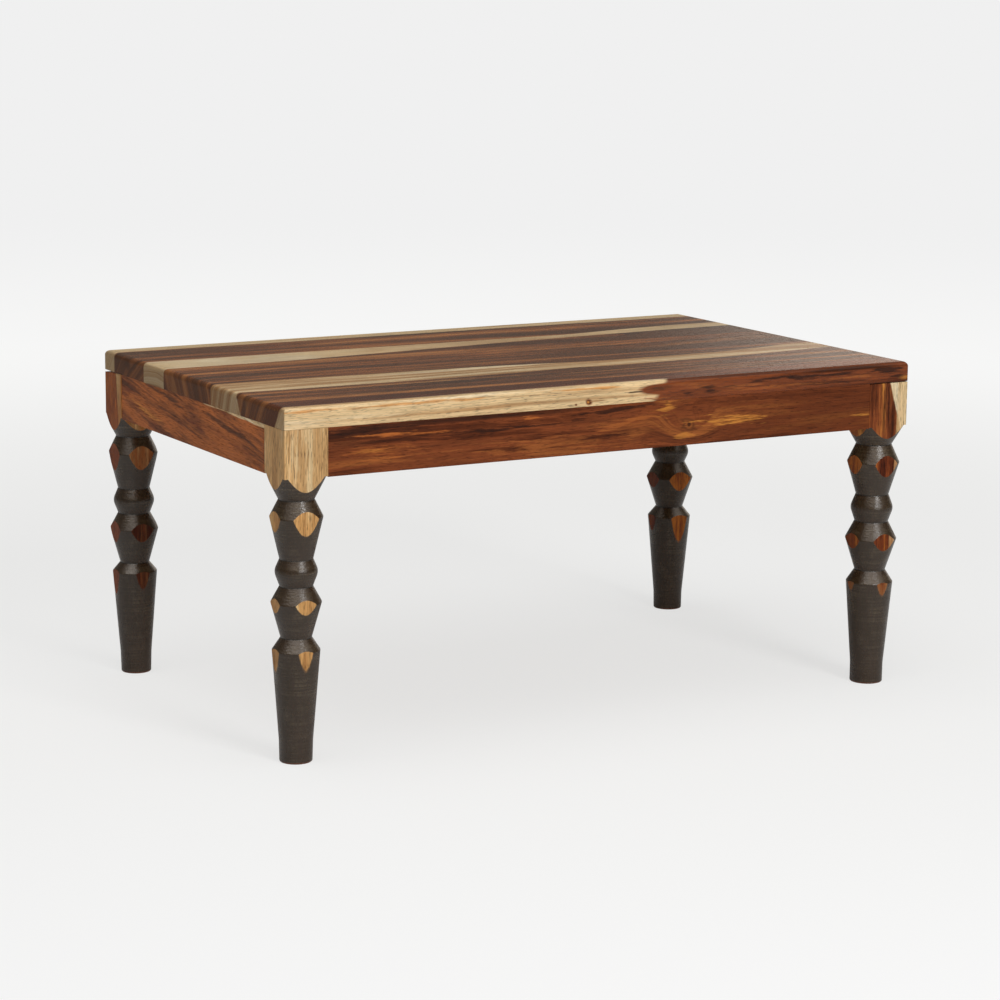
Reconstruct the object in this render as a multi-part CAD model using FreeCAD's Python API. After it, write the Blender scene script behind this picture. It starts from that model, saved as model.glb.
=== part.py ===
import FreeCAD, Part
import math
import os

# Bajot: a low table of sheesham on four turned legs, millimetres, +Z up. The origin is on the floor under
# the middle of the top, +X runs along the table and -Y is its front.

# Overall size
table_length = 660.0
table_depth = 406.0
table_height = 317.0

# Top: five boards glued edge to edge, listed from the rear edge to the front
top_thickness = 19.0
top_round_over = 4.5
top_boards = ["top_board_rear", "top_board_rear_strip", "top_board_middle", "top_board_front",
              "top_board_front_strip"]
board_width_shares = [0.239, 0.118, 0.264, 0.291, 0.088]

# Legs: sawn blanks, a little unequal as such blanks are, with a square block left at the top
leg_blank = 42.0
block_height = 42.5
blank_x_shares = {"front_left": 1.0, "front_right": 1.048, "rear_left": 0.943, "rear_right": 1.019}
blank_y_shares = {"front_left": 0.962, "front_right": 1.019, "rear_left": 0.967, "rear_right": 1.0}
toe_chamfer = 0.8

# Gap between a block's top and the top boards, at the outer and the inner edge of the block
block_gap = 0.5
block_outer_gap_shares = {"front_left": 0.0, "front_right": 1.4, "rear_left": 4.4, "rear_right": 1.0}
block_inner_gap_shares = {"front_left": 0.0, "front_right": 1.0, "rear_left": 0.0, "rear_right": 0.6}

# Turned part of a leg, from the shoulder under its block down to the toe
shoulder_radius = 27.5
upper_waist_radius = 16.5
upper_bead_radius = 24.4
collar_waist_radius = 15.5
collar_radius = 19.8
lower_bead_radius = 24.1
shin_waist_radius = 14.4
foot_ridge_radius = 22.3
ankle_radius = 15.4
toe_radius = 15.1
turning_radii = [shoulder_radius, upper_waist_radius, upper_bead_radius, collar_waist_radius, collar_radius,
                 collar_waist_radius, lower_bead_radius, shin_waist_radius, foot_ridge_radius, ankle_radius]

# Each leg was turned by eye: its own heights, as shares of the turned length, and its own radii, as shares of
# the ones above
turning_level_shares = {
    "front_left": [1.0, 0.917, 0.857, 0.711, 0.668, 0.617, 0.561, 0.438, 0.394, 0.078],
    "front_right": [1.0, 0.924, 0.855, 0.731, 0.679, 0.627, 0.561, 0.439, 0.393, 0.075],
    "rear_left": [1.0, 0.920, 0.857, 0.719, 0.672, 0.623, 0.564, 0.431, 0.396, 0.080],
    "rear_right": [1.0, 0.920, 0.856, 0.722, 0.671, 0.630, 0.564, 0.439, 0.399, 0.070],
}
turning_radius_shares = {
    "front_left": [0.967, 0.960, 0.966, 0.956, 0.955, 0.951, 0.934, 0.957, 0.954, 0.980],
    "front_right": [1.034, 1.033, 1.030, 1.019, 1.021, 1.045, 1.029, 1.027, 1.010, 1.030],
    "rear_left": [0.989, 0.989, 0.984, 0.985, 0.990, 1.000, 0.973, 0.976, 0.962, 0.980],
    "rear_right": [1.012, 1.012, 1.012, 1.000, 0.990, 1.009, 1.024, 0.990, 1.017, 0.985],
}
toe_radius_shares = {"front_left": 0.967, "front_right": 1.045, "rear_left": 0.960, "rear_right": 0.985}

# Rails: a little deeper than the blocks, set back a hair from their faces
rail_thickness = 20.0
rail_inset = 0.5
rail_below_block = 0.7

# Stub tenons on the rails' ends, mitred where two meet inside a leg
tenon_thickness = 8.0
tenon_height_share = 0.65
tenon_top_share = 0.18
tenon_mitre_gap = 0.5

# Groove along the inside of each rail for the buttons' tongues
groove_drop = 9.0
groove_height = 7.0
groove_depth = 6.5

# Buttons: wooden blocks that hold the top down and let it move
button_width = 30.0
button_length = 34.0
button_rail_gap = 0.6
button_chamfer = 3.0
tongue_reach = 6.0
tongue_clearance = 1.0
button_place_share = 0.25

# Corner blocks across the inner corners of the frame
corner_block_thickness = 22.0
corner_block_height_share = 0.84
corner_block_leg_gap = 0.3
corner_screw_drop = 24.0
corner_screw_grip = 8.0
corner_screw_bite = 12.0
counterbore_clearance = 0.8

# Countersunk wood screws with a cross recess
screw_shank_radius = 2.0
screw_head_radius = 4.0
screw_head_rim = 0.4
screw_head_cone = 2.0
screw_tip = 4.0
recess_span = 4.6
recess_width = 1.1
recess_depth = 1.5
pilot_clearance = 0.1
button_screw_bite_share = 0.6

# Cutting bodies run past the faces that they cut by this much
cut_overrun = 5.0

# Worked out from the sizes above
half_length = table_length / 2
half_depth = table_depth / 2
top_underside = table_height - top_thickness
block_bottom = top_underside - block_height
rail_height = block_height + rail_below_block
rail_bottom = top_underside - rail_height
rail_inner = rail_inset + rail_thickness
tenon_outer = rail_inset + (rail_thickness - tenon_thickness) / 2
tenon_inner = tenon_outer + tenon_thickness
tenon_height = rail_height * tenon_height_share
tenon_top = top_underside - rail_height * tenon_top_share
tenon_bottom = tenon_top - tenon_height
groove_top = top_underside - groove_drop
tongue_bottom = groove_top - groove_height + tongue_clearance
button_screw_place = button_length / 2 + button_rail_gap
button_screw_length = top_underside - tongue_bottom + top_thickness * button_screw_bite_share
corner_block_height = rail_height * corner_block_height_share
corner_screw_length = corner_screw_grip + corner_screw_bite + screw_head_rim + screw_head_cone
corner_screw_level = top_underside - corner_screw_drop

UP = FreeCAD.Vector(0, 0, 1)

# A leg's name to the way from the middle of the table to it, along X and along Y
LEGS = {"front_left": (-1, -1), "front_right": (1, -1), "rear_left": (-1, 1), "rear_right": (1, 1)}

# A rail's name to its turn about Z from the front rail's place, and the legs at its two ends
RAILS = {
    "front": (0, "front_left", "front_right"),
    "right": (90, "front_right", "rear_right"),
    "rear": (180, "rear_right", "rear_left"),
    "left": (270, "rear_left", "front_left"),
}


def blank_x(leg):
    """Width of a leg's blank along X."""
    return leg_blank * blank_x_shares[leg]


def blank_y(leg):
    """Width of a leg's blank along Y."""
    return leg_blank * blank_y_shares[leg]


def from_corner(leg, u, v, z):
    """A point given by its distances in from the table's corner over a leg, along X and along Y."""
    side_x, side_y = LEGS[leg]
    return FreeCAD.Vector(side_x * (half_length - u), side_y * (half_depth - v), z)


def prism(points, travel):
    """The solid that a closed outline sweeps along a vector."""
    outline = Part.Face(Part.makePolygon(points + [points[0]]))
    return outline.extrude(travel)


def corner_prism(leg, outline, bottom, height):
    """An upright prism over an outline of distances in from the table's corner over a leg."""
    points = [from_corner(leg, u, v, bottom) for u, v in outline]
    return prism(points, UP * height)


def rod(radius, length, start, direction):
    """A round bar from a point."""
    return Part.makeCylinder(radius, length, start, direction)


def screw(length, start, direction):
    """A countersunk screw. Its head's face lies at the start and its point lies along the direction."""
    neck = screw_head_rim + screw_head_cone
    outline = [
        FreeCAD.Vector(0, 0, 0),
        FreeCAD.Vector(screw_head_radius, 0, 0),
        FreeCAD.Vector(screw_head_radius, 0, screw_head_rim),
        FreeCAD.Vector(screw_shank_radius, 0, neck),
        FreeCAD.Vector(screw_shank_radius, 0, length - screw_tip),
        FreeCAD.Vector(0, 0, length),
    ]
    body = Part.Face(Part.makePolygon(outline + [outline[0]])).revolve(outline[0], UP, 360)
    for span_x, span_y in ((recess_span, recess_width), (recess_width, recess_span)):
        corner = FreeCAD.Vector(-span_x / 2, -span_y / 2, 0)
        body = body.cut(Part.makeBox(span_x, span_y, recess_depth, corner))
    body.Placement = FreeCAD.Placement(start, FreeCAD.Rotation(UP, direction))
    return body


def screw_hole(length, start, direction):
    """The countersunk hole for a screw, clear of it by the pilot clearance."""
    rim = screw_head_radius + pilot_clearance
    shank = screw_shank_radius + pilot_clearance
    mouth = rod(rim, screw_head_rim, start, direction)
    cone_start = start + direction * screw_head_rim
    cone = Part.makeCone(rim, shank, screw_head_cone, cone_start, direction)
    bore = rod(shank, length + pilot_clearance, start, direction)
    return mouth.fuse([cone, bore])


def button_screw_starts():
    """Where each button screw's head lies, by the button's name."""
    starts = {}
    reach = rail_inner + button_screw_place
    along = table_length * button_place_share
    for leg, (side_x, side_y) in LEGS.items():
        starts[leg] = FreeCAD.Vector(side_x * along, side_y * (half_depth - reach), tongue_bottom)
    starts["left"] = FreeCAD.Vector(-half_length + reach, 0, tongue_bottom)
    starts["right"] = FreeCAD.Vector(half_length - reach, 0, tongue_bottom)
    return starts


def button_turn(name):
    """A button's turn about Z from its place on the front rail."""
    for rail, (turn, _, _) in RAILS.items():
        if name.startswith(rail):
            return turn


def corner_block_ends(leg):
    """Distances in from the corner at which a corner block starts and stops along each rail."""
    leg_corner = blank_x(leg) + blank_y(leg) + corner_block_leg_gap * math.sqrt(2)
    start = leg_corner - rail_inner
    return start, start + corner_block_thickness * math.sqrt(2)


def corner_screws(leg):
    """Start and direction of the two screws through a corner block, into the long and the short rail."""
    side_x, side_y = LEGS[leg]
    middle = sum(corner_block_ends(leg)) / 2
    seat = rail_inner + corner_screw_grip + screw_head_rim + screw_head_cone
    into_long_rail = (from_corner(leg, middle, seat, corner_screw_level), FreeCAD.Vector(0, side_y, 0))
    into_short_rail = (from_corner(leg, seat, middle, corner_screw_level), FreeCAD.Vector(side_x, 0, 0))
    return into_long_rail, into_short_rail


def make_top_boards():
    """The five boards of the top, rounded over as one panel, with the buttons' pilot holes."""
    corner = FreeCAD.Vector(-half_length, -half_depth, top_underside)
    panel = Part.makeBox(table_length, table_depth, top_thickness, corner)
    upper_face = max(panel.Faces, key=lambda face: face.CenterOfMass.z)
    panel = panel.makeFillet(min(top_round_over, top_thickness / 2), upper_face.Edges)
    for start in button_screw_starts().values():
        panel = panel.cut(screw_hole(button_screw_length, start, UP))
    boards = {}
    rear_edge = half_depth
    for name, share in zip(top_boards, board_width_shares):
        width = table_depth * share
        start = FreeCAD.Vector(-half_length - cut_overrun, rear_edge - width, top_underside)
        slot = Part.makeBox(table_length + 2 * cut_overrun, width, top_thickness, start)
        boards[name] = panel.common(slot)
        rear_edge -= width
    return boards


def turned_body(leg):
    """The full round turning of a leg, from the floor to the shoulder under its block."""
    levels = [block_bottom * share for share in turning_level_shares[leg]]
    outline = [FreeCAD.Vector(0, 0, block_bottom)]
    for level, radius, share in zip(levels, turning_radii, turning_radius_shares[leg]):
        outline.append(FreeCAD.Vector(radius * share, 0, level))
    toe = toe_radius * toe_radius_shares[leg]
    outline.append(FreeCAD.Vector(toe, 0, toe_chamfer))
    outline.append(FreeCAD.Vector(toe - toe_chamfer, 0, 0))
    outline.append(FreeCAD.Vector(0, 0, 0))
    turning = Part.Face(Part.makePolygon(outline + [outline[0]])).revolve(outline[0], UP, 360)
    turning.translate(from_corner(leg, blank_x(leg) / 2, blank_y(leg) / 2, 0))
    return turning


def make_leg(leg):
    """A leg: the turning cut by the flats of its square blank, its block, and the mortises in the block."""
    width, depth = blank_x(leg), blank_y(leg)
    square = [(0, 0), (width, 0), (width, depth), (0, depth)]
    turned = turned_body(leg).common(corner_prism(leg, square, 0, block_bottom))
    outer_top = top_underside - block_gap * block_outer_gap_shares[leg]
    inner_top = top_underside - block_gap * block_inner_gap_shares[leg]
    side_outline = [
        from_corner(leg, 0, 0, block_bottom),
        from_corner(leg, 0, depth, block_bottom),
        from_corner(leg, 0, depth, inner_top),
        from_corner(leg, 0, 0, outer_top),
    ]
    side_x = LEGS[leg][0]
    block = prism(side_outline, FreeCAD.Vector(-side_x * width, 0, 0))
    mortise = [
        (tenon_outer, tenon_outer),
        (width + cut_overrun, tenon_outer),
        (width + cut_overrun, tenon_inner),
        (tenon_inner, tenon_inner),
        (tenon_inner, depth + cut_overrun),
        (tenon_outer, depth + cut_overrun),
    ]
    whole = turned.fuse(block).removeSplitter()
    return whole.cut(corner_prism(leg, mortise, tenon_bottom, tenon_height))


def tenon(leg, along_x):
    """The mitred stub tenon that enters a leg from the rail along X, or from the rail along Y."""
    width = blank_x(leg) if along_x else blank_y(leg)
    outline = [
        (width, tenon_outer),
        (width, tenon_inner),
        (tenon_inner + tenon_mitre_gap, tenon_inner),
        (tenon_outer + tenon_mitre_gap, tenon_outer),
    ]
    if not along_x:
        outline = [(u, v) for v, u in outline]
    return corner_prism(leg, outline, tenon_bottom, tenon_height)


def make_rail(rail):
    """A rail: a board between two leg blocks with its tenons, the button groove and the pilot holes."""
    turn, first_leg, second_leg = RAILS[rail]
    along_x = turn % 180 == 0
    ends = []
    for leg in (first_leg, second_leg):
        width = blank_x(leg) if along_x else blank_y(leg)
        ends.append((width, rail_inset) if along_x else (rail_inset, width))
        ends.append((width, rail_inner) if along_x else (rail_inner, width))
    first_outer, first_inner, second_outer, second_inner = ends
    footprint = [
        from_corner(first_leg, *first_outer, rail_bottom),
        from_corner(second_leg, *second_outer, rail_bottom),
        from_corner(second_leg, *second_inner, rail_bottom),
        from_corner(first_leg, *first_inner, rail_bottom),
    ]
    board = prism(footprint, UP * rail_height)
    board = board.fuse([tenon(first_leg, along_x), tenon(second_leg, along_x)])
    inward = FreeCAD.Rotation(UP, turn).multVec(FreeCAD.Vector(0, 1, 0))
    lift = UP * (groove_top - groove_height - rail_bottom)
    groove_outline = [
        footprint[3] - inward * groove_depth + lift,
        footprint[2] - inward * groove_depth + lift,
        footprint[2] + inward * cut_overrun + lift,
        footprint[3] + inward * cut_overrun + lift,
    ]
    board = board.cut(prism(groove_outline, UP * groove_height))
    for leg in (first_leg, second_leg):
        start, direction = corner_screws(leg)[0 if along_x else 1]
        board = board.cut(rod(screw_shank_radius + pilot_clearance, corner_screw_length + pilot_clearance,
                              start, direction))
    return board


def make_corner_block(leg):
    """A corner block, mitred to lie against both rails, with its two counterbored screw holes."""
    start, stop = corner_block_ends(leg)
    outline = [(start, rail_inner), (stop, rail_inner), (rail_inner, stop), (rail_inner, start)]
    block = corner_prism(leg, outline, top_underside - corner_block_height, corner_block_height)
    for seat, direction in corner_screws(leg):
        block = block.cut(screw_hole(corner_screw_length, seat, direction))
        mouth_depth = corner_block_thickness * math.sqrt(2) + cut_overrun
        block = block.cut(rod(screw_head_radius + counterbore_clearance, mouth_depth,
                              seat, direction * -1))
    return block


def make_button(name):
    """A button: a block under the top with a tongue in the rail's groove, and its countersunk hole."""
    side_outline = [
        (button_rail_gap, top_underside),
        (button_rail_gap, groove_top),
        (-tongue_reach, groove_top),
        (-tongue_reach, tongue_bottom),
        (button_length - button_chamfer, tongue_bottom),
        (button_length, tongue_bottom + button_chamfer),
        (button_length, top_underside),
    ]
    points = [FreeCAD.Vector(-button_width / 2, reach - button_screw_place, z) for reach, z in side_outline]
    button = prism(points, FreeCAD.Vector(button_width, 0, 0))
    button.rotate(FreeCAD.Vector(0, 0, 0), UP, button_turn(name))
    start = button_screw_starts()[name]
    button.translate(FreeCAD.Vector(start.x, start.y, 0))
    return button.cut(screw_hole(button_screw_length, start, UP))


def make_screws(places, length):
    """A group of like screws."""
    return Part.makeCompound([screw(length, start, direction) for start, direction in places])


def make_parts():
    """Every piece of the table by its name."""
    parts = make_top_boards()
    for leg in LEGS:
        parts["leg_" + leg] = make_leg(leg)
        parts["corner_block_" + leg] = make_corner_block(leg)
    for rail in RAILS:
        parts["rail_" + rail] = make_rail(rail)
    for name in button_screw_starts():
        parts["top_button_" + name] = make_button(name)
    up_screws = [(start, UP) for start in button_screw_starts().values()]
    parts["button_screws"] = make_screws(up_screws, button_screw_length)
    rail_screws = [place for leg in LEGS for place in corner_screws(leg)]
    parts["corner_block_screws"] = make_screws(rail_screws, corner_screw_length)
    return parts


os.makedirs("parts", exist_ok=True)
for part_name, part_shape in make_parts().items():
    part_shape.exportStep("parts/" + part_name + ".step")
    print(part_name, len(part_shape.Solids), "solids, valid", part_shape.isValid(),
          "volume", round(part_shape.Volume / 1000, 2), "cm3")
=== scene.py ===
# Bajot, a low sheesham table on four turned legs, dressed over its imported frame. Metres, +Z up, front at -Y.
import functools
import math
import bmesh
import bpy
from mathutils import Matrix, Vector


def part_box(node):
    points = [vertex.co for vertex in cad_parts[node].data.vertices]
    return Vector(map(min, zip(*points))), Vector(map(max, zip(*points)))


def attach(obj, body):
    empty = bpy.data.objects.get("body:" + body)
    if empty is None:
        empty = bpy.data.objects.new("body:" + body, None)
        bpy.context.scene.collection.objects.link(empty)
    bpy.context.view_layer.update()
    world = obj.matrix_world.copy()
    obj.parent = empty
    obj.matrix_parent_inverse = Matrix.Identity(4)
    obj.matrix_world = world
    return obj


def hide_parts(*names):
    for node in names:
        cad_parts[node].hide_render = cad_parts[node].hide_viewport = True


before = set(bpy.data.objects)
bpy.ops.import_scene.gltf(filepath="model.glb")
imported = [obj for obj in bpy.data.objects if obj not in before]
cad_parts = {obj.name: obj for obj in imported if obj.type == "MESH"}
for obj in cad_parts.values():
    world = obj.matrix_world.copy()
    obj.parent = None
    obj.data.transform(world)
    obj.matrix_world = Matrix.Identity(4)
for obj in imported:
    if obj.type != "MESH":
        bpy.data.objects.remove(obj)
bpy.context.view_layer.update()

bl_info = {
    "name": "Bajot low table",
    "version": (1, 0, 0),
    "blender": (4, 5, 0),
    "location": "View3D > Sidebar > Bajot",
    "description": "Dresses a packed low table: eased boards, turned legs and sheesham figure",
    "category": "Add Mesh",
}

MM = 0.001
PER_METRE = 1000.0

# The table's outer box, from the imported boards
REAR_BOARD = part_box("top_board_rear")
FRONT_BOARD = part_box("top_board_front_strip")
TABLE_LENGTH = (REAR_BOARD[1].x - REAR_BOARD[0].x) * PER_METRE
TABLE_DEPTH = (REAR_BOARD[1].y - FRONT_BOARD[0].y) * PER_METRE
TABLE_HEIGHT = REAR_BOARD[1].z * PER_METRE
TOP_UNDERSIDE = REAR_BOARD[0].z * PER_METRE

# Heights of the turning's rings on each leg, from shoulder to ankle, as shares of the turned length
RING_LEVELS = {
    "front_left": (1.0, 0.917, 0.857, 0.711, 0.668, 0.617, 0.561, 0.438, 0.394, 0.078),
    "front_right": (1.0, 0.924, 0.855, 0.731, 0.679, 0.627, 0.561, 0.439, 0.393, 0.075),
    "rear_left": (1.0, 0.920, 0.857, 0.719, 0.672, 0.623, 0.564, 0.431, 0.396, 0.080),
    "rear_right": (1.0, 0.920, 0.856, 0.722, 0.671, 0.630, 0.564, 0.439, 0.399, 0.070),
}

# The same rings' radii and the toe's on each leg, as shares of the common ring radii
RING_SHARES = {
    "front_left": (0.967, 0.960, 0.966, 0.956, 0.955, 0.951, 0.934, 0.957, 0.954, 0.980, 0.967),
    "front_right": (1.034, 1.033, 1.030, 1.019, 1.021, 1.045, 1.029, 1.027, 1.010, 1.030, 1.045),
    "rear_left": (0.989, 0.989, 0.984, 0.985, 0.990, 1.000, 0.973, 0.976, 0.962, 0.980, 0.960),
    "rear_right": (1.012, 1.012, 1.012, 1.000, 0.990, 1.009, 1.024, 0.990, 1.017, 0.985, 0.985),
}

# The rings at the bottom of a waist, and the ring of the cushion bead. The bead's sharp ridge before rounding
# stands higher by its lift.
WAISTS = (1, 3, 5, 7)
MIDDLE_BEAD = 4
BEAD_LIFT = 0.7 * MM

# How far off the blank's centre each turning's axis ends at the toe, to the right and to the rear, in mm
TOE_SHIFTS = {
    "front_left": (-1.5, 0.0),
    "front_right": (0.0, 0.5),
    "rear_left": (0.0, 0.0),
    "rear_right": (0.0, -0.8),
}

# Height of the turned part of a leg and the chamfer of its toe, in mm
TURNED_LENGTH = 255.5
TOE_CHAMFER = 0.8

# Drop of a block's outer edge below the top, where the block stands a hair off level, in mm
BLOCK_OUTER_GAP = {"front_left": 0.0, "front_right": 0.7, "rear_left": 2.2, "rear_right": 0.5}
BLOCK_INNER_GAP = {"front_left": 0.0, "front_right": 0.5, "rear_left": 0.0, "rear_right": 0.3}

# How far the blank and the drum above the turning run past what is kept of them, and the drum's radius, in mm
OVERRUN = 10
DRUM_RADIUS = 40

# Facets in the top's round-over, in its eased edges and in a rounded ridge of the turning
ROUND_STEPS = 8
EASE_STEPS = 2
RIDGE_STEPS = 6

# A rounded ridge takes at most one part in this many of the slope beside it, and has a support point this
# far from its ends, in mm
RIDGE_SHARE = 2.5
RIDGE_SUPPORT = 0.3

# Corners closer than this after the cut are one, in mm
WELD = 0.01

# Edges that turn by more than this stay sharp on the top and on a turning, in degrees
TOP_SHARP = 30
TURNING_SHARP = 14

# A length that stands for no limit, in mm
FAR = 1.0e5

# Soft start and end of a range
SOFTLY = {"interpolation_type": "SMOOTHSTEP"}

# Where the four tones of a figure stand in its noise
TONE_STOPS = (0.4, 0.47, 0.54, 0.61)

# Radius of the soft line that light draws along an edge, in mm
EDGE_GLINT = 0.4

# How far fibres fray the rim of a mark, as a share of its size
FEATHER_REACH = 4.5

# A face whose normal lies this close to an axis is a sawn or planed one
SQUARE_ON = 0.99995

# Place and width of the soft boxes, and half the floor's width, in metres
SOFT_BOXES = {"overhead": ((-0.5, -0.3, 2.4), 2.2), "front": ((0.3, -2.9, 1.6), 0.9)}
FLOOR_HALF = 8


def linear(code):
    """An sRGB hex colour as linear red, green and blue."""
    channels = [int(code[i:i + 2], 16) / 255 for i in (0, 2, 4)]
    return tuple(c / 12.92 if c <= 0.04045 else ((c + 0.055) / 1.055) ** 2.4 for c in channels)


def tint(name, code, what):
    """A colour property that a user can change."""
    return bpy.props.FloatVectorProperty(
        name=name, description=what, default=linear(code), size=3, subtype="COLOR", min=0, max=1)


def length_mm(name, value, what):
    """A length property given in mm."""
    return bpy.props.FloatProperty(
        name=name, description=what, default=value * MM, unit="LENGTH", min=0, precision=4)


def brightness(name, value, what, unit="NONE"):
    """A strength of light or gleam."""
    return bpy.props.FloatProperty(name=name, description=what, default=value, min=0, unit=unit)


class BajotSizes(bpy.types.PropertyGroup):
    """Sizes of the shaped edges and of the turning."""
    round_over: length_mm("Round-over", 4.5, "Radius worked along the upper edge of the top")
    board_ease: length_mm("Board ease", 0.5, "Small chamfer on the top's other edges")
    block_ease: length_mm("Block ease", 0.6, "Small chamfer on the legs' square blocks")
    ridge_round: length_mm("Ridge rounding", 1.5, "Radius left by sanding on the turning's ridges")
    bead_round: length_mm("Bead rounding", 11.0, "Radius of the cushion bead between the two middle waists")
    ring_radii: bpy.props.FloatVectorProperty(
        name="Ring radii", description="Radii of the turning from shoulder to ankle and toe", size=11,
        unit="LENGTH",
        default=[r * MM for r in (27.5, 16.5, 24.4, 15.5, 19.8, 15.5, 24.1, 14.4, 22.3, 15.4, 15.1)])
    turning_steps: bpy.props.IntProperty(
        name="Turning steps", description="Flat facets round a turned leg", default=128, min=24, max=256)


class BajotFinishes(bpy.types.PropertyGroup):
    """Colours of the woods, the stain and the screws."""
    heart_deep: tint("Heartwood streak", "2A150D", "Near-black growth lines of sheesham heartwood")
    heart_dark: tint("Heartwood dark", "502D17", "Dark heartwood")
    heart_mid: tint("Heartwood middle", "884C24", "Common heartwood")
    heart_light: tint("Heartwood light", "AE713C", "Pale streaks in heartwood")
    end_grain: tint("End grain", "7A5640", "Brown of lacquer soaked into end grain")
    rail_dark: tint("Rail dark", "532610", "Dark red heartwood of the rails")
    rail_mid: tint("Rail middle", "7C3F20", "Common red heartwood of the rails")
    rail_light: tint("Rail light", "98562A", "Light red heartwood of the rails")
    warm_rub: tint("Warm rub", "F6E8D2", "Warmth that the stain left on pale lower flats")
    red_rub: tint("Red rub", "C2A294", "Darkness that the stain left on red lower flats")
    ember: tint("Ember", "BA6830", "Orange heartwood between the dark lines")
    flame: tint("Flame", "CC853A", "Gold and orange flame beside a knot")
    sap: tint("Sapwood", "E2C393", "Pale yellow sapwood")
    sap_light: tint("Sapwood light", "EED8B0", "Palest sapwood")
    sap_streak: tint("Sapwood streak", "B08455", "Brown fibres in sapwood")
    stain: tint("Stain", "302312", "Dark stain on the turned surfaces")
    stain_deep: tint("Crease shade", "15100B", "Painted shade darkening the creases of the waists")
    # Painted shade: near-black colour laid in the creases at the bottom of the waists
    stain_worn: tint("Worn stain", "645642", "Stain rubbed thin on rings and ridges")
    stain_warm: tint("Warm stain", "36261A", "Stain over red wood in the waists")
    bare_toe: tint("Bare toe", "6B3A24", "Red wood where the toe was trimmed after staining")
    plain_wood: tint("Plain wood", "CAA06C", "Planed hardwood of the blocks and buttons")
    zinc: tint("Zinc", "C9BF9C", "Zinc coat with a faint yellow")


class BajotStudio(bpy.types.PropertyGroup):
    """Camera and lamps."""
    lens: bpy.props.FloatProperty(
        name="Lens", description="Focal length", default=105.966, subtype="DISTANCE_CAMERA")
    camera_place: bpy.props.FloatVectorProperty(
        name="Camera place", description="Where the camera stands", default=(-1.38524, -2.44634, 0.71172),
        subtype="TRANSLATION")
    camera_turn: bpy.props.FloatVectorProperty(
        name="Camera turn", description="Yaw right of straight ahead, pitch down and roll",
        default=[math.radians(a) for a in (29.45675, 10.80290, 0.53149)], subtype="EULER")
    overhead_power: brightness("Overhead lamp", 26.0, "Power of the soft box above", "POWER")
    front_power: brightness("Front lamp", 42.0, "Power of the soft box above the camera", "POWER")
    room_light: brightness("Room light", 0.22, "Strength of the light from all round")
    front_gleam: brightness("Front gleam", 0.12, "How bright the room in front is in reflections")
    rear_gleam: brightness("Rear gleam", 0.22, "How bright the backdrop is in reflections")
    side_gleam: brightness("Side gleam", 1.15, "How much brighter the rear right is in reflections")
    ceiling_gleam: brightness("Ceiling gleam", 2.2, "How much brighter the ceiling is in reflections")
    floor_glow: brightness("Floor glow", 0.7, "Share of the floor's brightness that takes no shadow")
    backdrop: tint("Backdrop", "F0F0F0", "Pale grey of the studio behind the table")
    walls: tint("Walls", "F4E8DA", "Warm white of the room in reflections")
    floor_front: tint("Floor in front", "FEFEFE", "Pale floor towards the camera")
    floor_rear: tint("Floor beside", "F9F9F8", "Pale floor beside the table")
    floor: tint("Floor", "F6F6F5", "Pale grey of the studio floor")


# Shared node work


def add_node(tree, kind, feeds=(), **settings):
    """Add a node of a kind, with its operation if any, feed its inputs, and return its first live output."""
    kind, *operation = kind.split()
    node = tree.nodes.new("ShaderNode" + kind)
    if operation:
        node.operation = operation[0]
    for name, value in settings.items():
        if name == "stops":
            marks = node.color_ramp.elements
            while len(marks) < len(value):
                marks.new(1)
            for mark, (spot, colour) in zip(marks, value):
                mark.position = spot
                mark.color = (*colour, 1)
        elif name == "points":
            curve = node.mapping.curves[0]
            while len(curve.points) < len(value):
                curve.points.new(1, 1)
            for point, spot in zip(curve.points, value):
                point.location = spot
            node.mapping.update()
        else:
            setattr(node, name, value)
    live = [socket for socket in node.inputs if socket.enabled]
    for key, value in feeds.items() if isinstance(feeds, dict) else enumerate(feeds):
        socket = live[key] if isinstance(key, int) else node.inputs[key]
        if isinstance(value, bpy.types.NodeSocket):
            tree.links.new(value, socket)
        elif value is not None:
            pale = socket.type == "RGBA" and len(value) == 3
            socket.default_value = (*value, 1) if pale else value
    return next((socket for socket in node.outputs if socket.enabled), None)


def new_finish(name):
    """An empty material and the function that adds nodes to it."""
    material = bpy.data.materials.new(name)
    return material, adder(material)


def adder(holder):
    """The function that adds nodes to the emptied tree of a material or a world."""
    holder.use_nodes = True
    holder.node_tree.nodes.clear()
    return functools.partial(add_node, holder.node_tree)


def seat(add, scale, turn, shift):
    """The table's own place in mm, turned so that x runs with the grain."""
    place = add("TexCoord").node.outputs["Object"]
    return add("Mapping", (place, shift, turn, [PER_METRE * s for s in scale]))


def along_table(add):
    """x from the left end, y from the rear edge, z down from the top's surface."""
    return seat(add, (1, -1, -1), (0, 0, 0), (TABLE_LENGTH / 2, TABLE_DEPTH / 2, TABLE_HEIGHT))


def across_table(add):
    """x from the rear edge, y from the left end, z down from the top's surface."""
    quarter = (0, 0, math.pi / 2)
    return seat(add, (1, 1, -1), quarter, (TABLE_DEPTH / 2, TABLE_LENGTH / 2, TABLE_HEIGHT))


def up_leg(add, middle_x, middle_y):
    """x up from the floor, y and z across a leg from its axis, towards the rear and towards the left."""
    quarter = (0, math.pi / 2, 0)
    return seat(add, (1, 1, 1), quarter, (0, -middle_y, middle_x))


def patchy(add, place, size, detail, rough, offset=None):
    """Noise in patches of a size in mm along, across and deep."""
    spread = add("Mapping", (place, offset, None, [1 / s for s in size]))
    return add("TexNoise", (spread, 1.0, detail, rough))


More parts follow.
